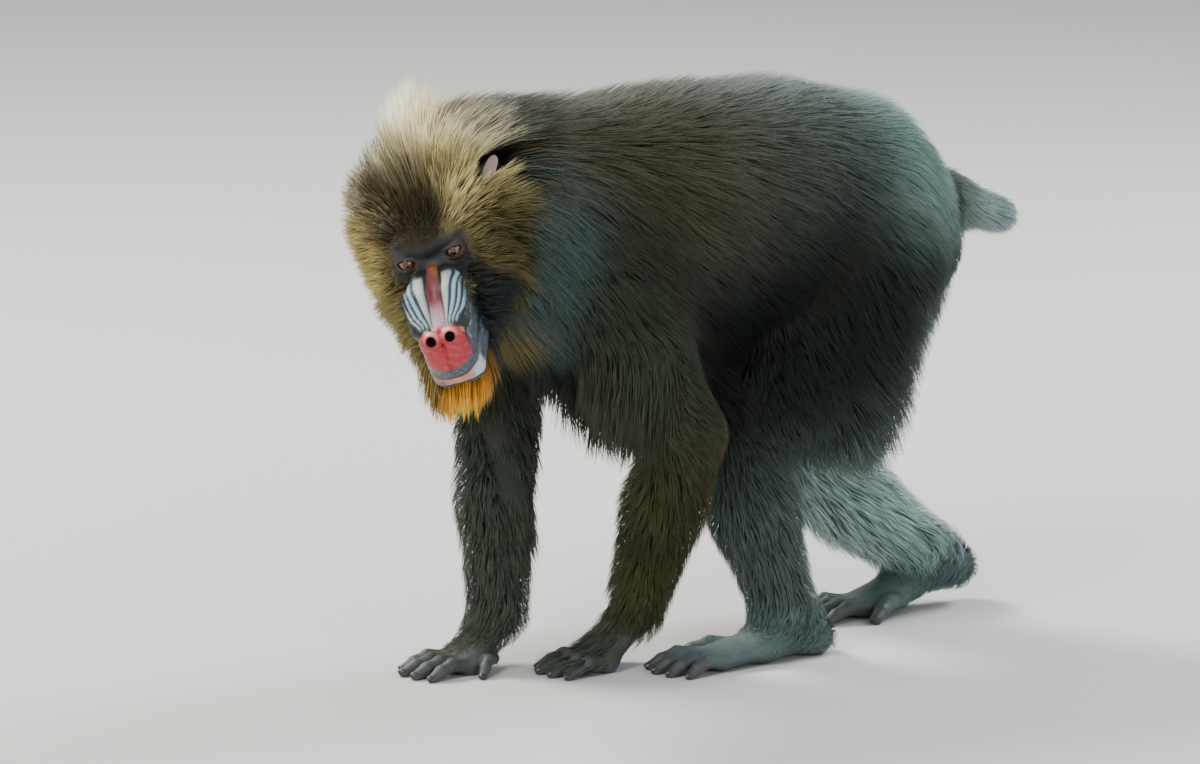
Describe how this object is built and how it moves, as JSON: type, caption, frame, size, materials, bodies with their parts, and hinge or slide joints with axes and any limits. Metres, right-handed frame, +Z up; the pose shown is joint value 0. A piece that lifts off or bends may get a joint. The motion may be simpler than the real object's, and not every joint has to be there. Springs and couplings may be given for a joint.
{
  "type": "mandrill",
  "caption": "Life-size mandrill standing on all fours in mid-step, head turned to its left, long coat, crest, cheek ruff and beard, stub tail.",
  "frame": {"origin": "on the floor, under the middle of the model's box", "axes": "+Z up, -Y the way the animal walks, +X its left side"},
  "size_m": [0.3266, 0.8431, 0.6885],
  "materials": {
    "coat": "long dense olive-grey hair with paler tips",
    "face": "bare ridged skin, red nose and blue-white cheeks, framed by olive and cream hair",
    "ear_skin": "thin bare pinkish skin",
    "eye": "wet, dark amber",
    "hand_skin": "blue-grey skin under short hair",
    "nail": "dark horn"
  },
  "bodies": {
    "root": {"head": "face", "ear_left": "ear_skin", "ear_right": "ear_skin", "eye_left": "eye", "eye_right": "eye", "neck": "coat", "torso": "coat", "tail": "coat", "upper_arm_left": "coat", "upper_arm_right": "coat", "forearm_left": "coat", "forearm_right": "coat", "hand_left": "hand_skin", "hand_right": "hand_skin", "thigh_left": "coat", "thigh_right": "coat", "shin_left": "coat", "shin_right": "coat", "foot_left": "hand_skin", "foot_right": "hand_skin"}
  },
  "joints": []
}
